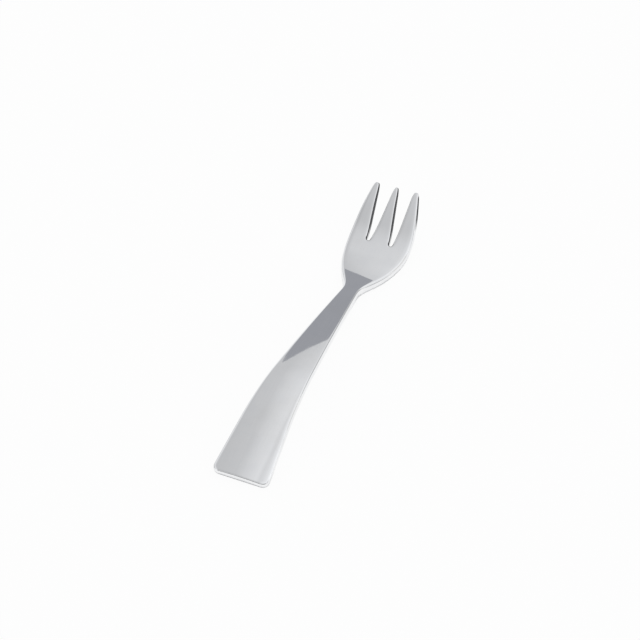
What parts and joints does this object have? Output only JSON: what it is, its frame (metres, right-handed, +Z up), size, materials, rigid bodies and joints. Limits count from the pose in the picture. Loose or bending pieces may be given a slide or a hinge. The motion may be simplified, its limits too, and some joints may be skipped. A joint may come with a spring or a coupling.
{
  "type": "appetizer fork",
  "caption": "Small mirror-polished steel fork with a broad tapering handle that arches up, a narrow neck, and a bent head with short pointed tines for picking up bites of food.",
  "frame": {"origin": "on the table under the middle of the fork's box", "axes": "+Y along the fork from the handle's end to the tine tips, +Z up from the table, +X to the right"},
  "size_m": [0.019, 0.111, 0.014],
  "materials": {
    "polished_steel": "stainless steel, mirror polished on every face"
  },
  "bodies": {
    "root": {"fork": "polished_steel"}
  },
  "joints": []
}
